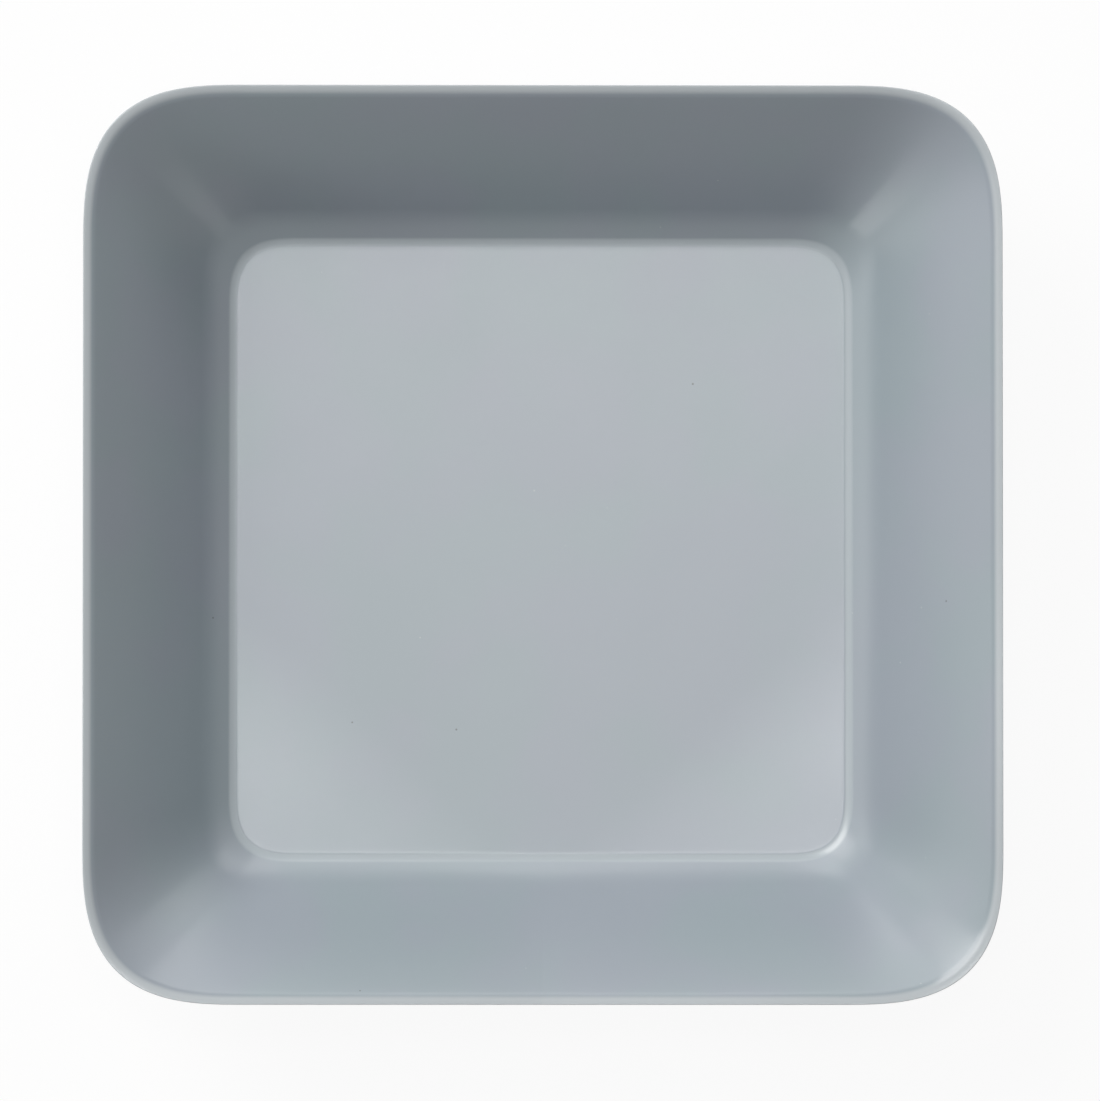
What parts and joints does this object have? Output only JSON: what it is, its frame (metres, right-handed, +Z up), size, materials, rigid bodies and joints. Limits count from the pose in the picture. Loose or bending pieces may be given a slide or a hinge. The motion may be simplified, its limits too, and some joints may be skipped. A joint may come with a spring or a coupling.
{
  "type": "square ceramic plate",
  "caption": "Square glazed ceramic plate with a flat well, steep straight walls, soft corners, a thin rounded lip and a low foot ring.",
  "frame": {"origin": "centre of the foot ring's bearing face, on the surface that the plate stands on", "axes": "+Z up through the open side of the plate, X and Y square to its four sides"},
  "size_m": [0.16, 0.16, 0.029],
  "materials": {
    "clay": "matt",
    "glaze": "gloss"
  },
  "bodies": {
    "root": {"clay_body": "clay", "glaze_coat": "glaze", "base_glaze": "glaze"}
  },
  "joints": []
}
